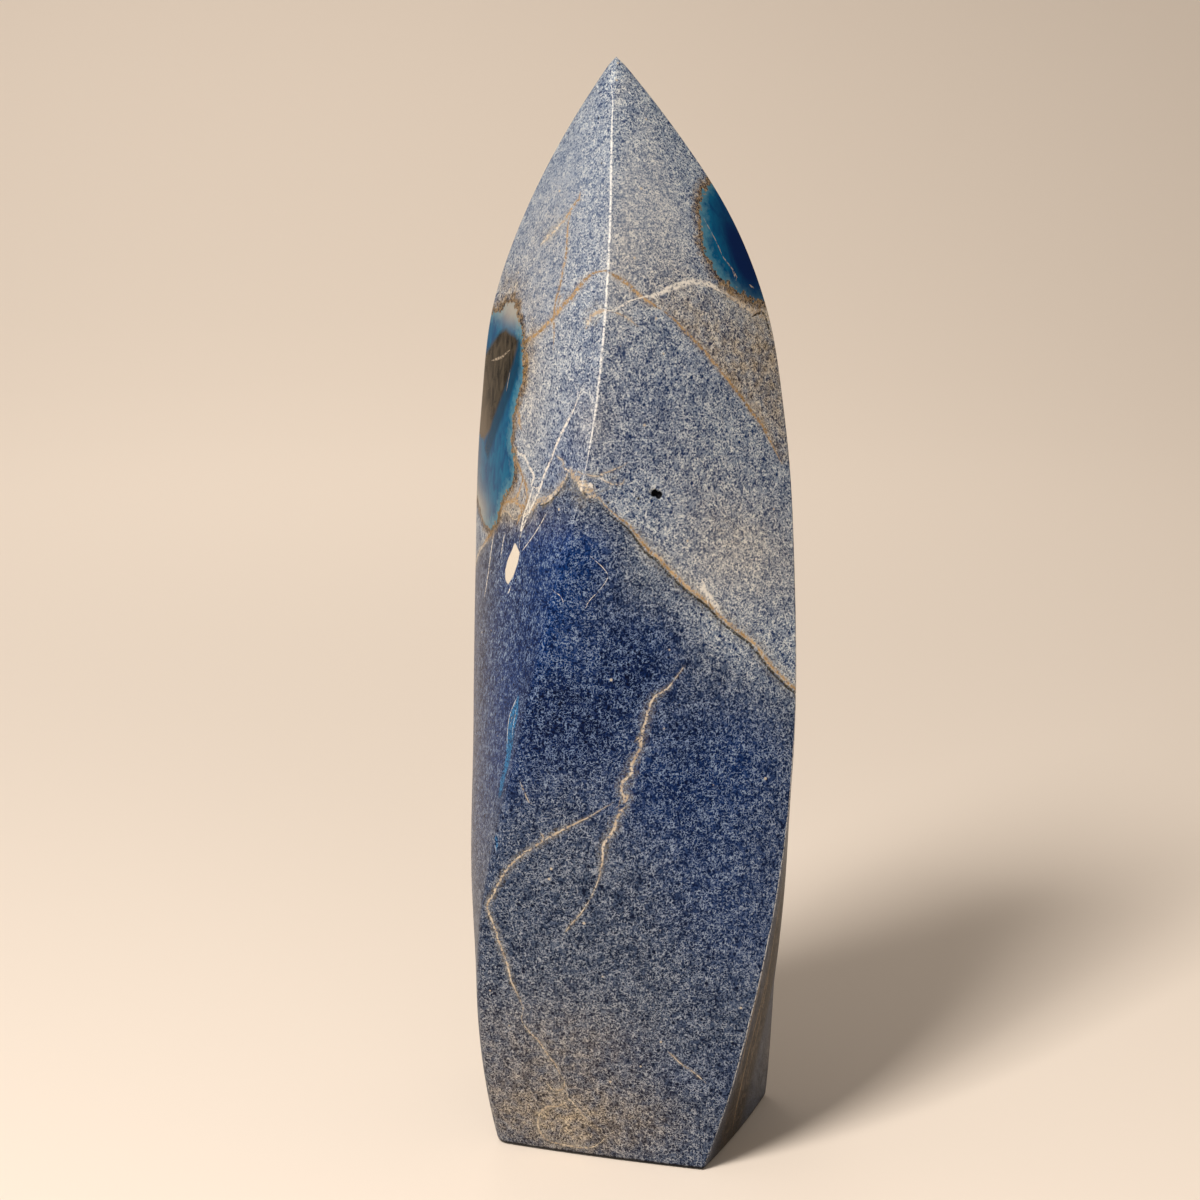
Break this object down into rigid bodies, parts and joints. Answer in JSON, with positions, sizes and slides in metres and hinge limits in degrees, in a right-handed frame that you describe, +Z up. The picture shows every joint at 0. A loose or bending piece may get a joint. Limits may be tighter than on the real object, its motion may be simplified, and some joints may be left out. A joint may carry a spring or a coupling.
{
  "type": "polished trolleite tower",
  "caption": "Polished freeform tower of blue-grey trolleite: a bowed square section that twists as it rises from a flat sawn foot to a sharp tip.",
  "frame": {"origin": "middle of the flat sawn foot that the stone stands on", "axes": "+Z up along the stone towards its tip; the four sides of the foot run along X and Y, and the side shown most in the picture starts at -Y"},
  "size_m": [0.0758, 0.0756, 0.22],
  "materials": {
    "polished_trolleite": "polished blue-grey stone with a fine cream and navy grain, golden and cream veins, and a teal patch"
  },
  "bodies": {
    "root": {"tower": "polished_trolleite"}
  },
  "joints": []
}
